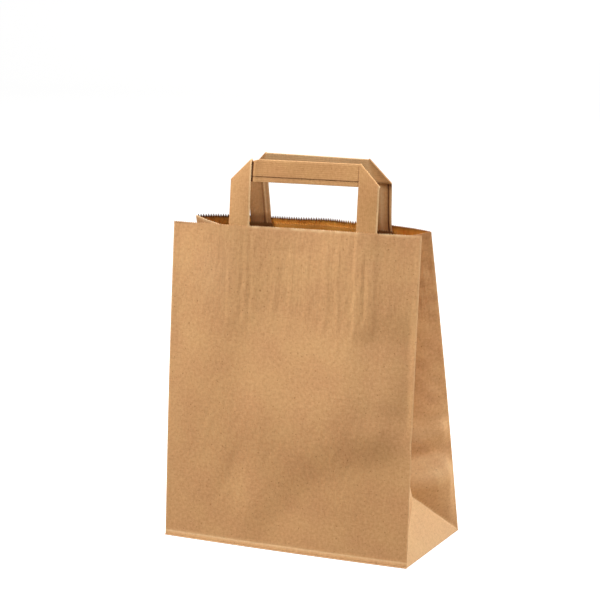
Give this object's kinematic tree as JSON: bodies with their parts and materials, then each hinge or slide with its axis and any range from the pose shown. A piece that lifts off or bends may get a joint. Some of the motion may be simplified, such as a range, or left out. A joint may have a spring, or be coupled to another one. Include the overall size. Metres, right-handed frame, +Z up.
{
  "type": "paper carrier bag",
  "caption": "Brown kraft paper carrier bag with a block bottom, side gussets folded inwards, a toothed mouth and flat paper tape handles.",
  "frame": {"origin": "centre of the base, on the surface that the bag stands on", "axes": "+Z up to the handles, +X across the front panel to its right edge, +Y from the front panel to the back panel"},
  "size_m": [0.2207, 0.1136, 0.3186],
  "materials": {
    "kraft_paper": "matt",
    "kraft_tape": "matt",
    "kraft_patch": "matt"
  },
  "bodies": {
    "root": {"bag_body": "kraft_paper", "front_handle": "kraft_tape", "rear_handle": "kraft_tape", "front_handle_patch": "kraft_patch", "rear_handle_patch": "kraft_patch"}
  },
  "joints": []
}
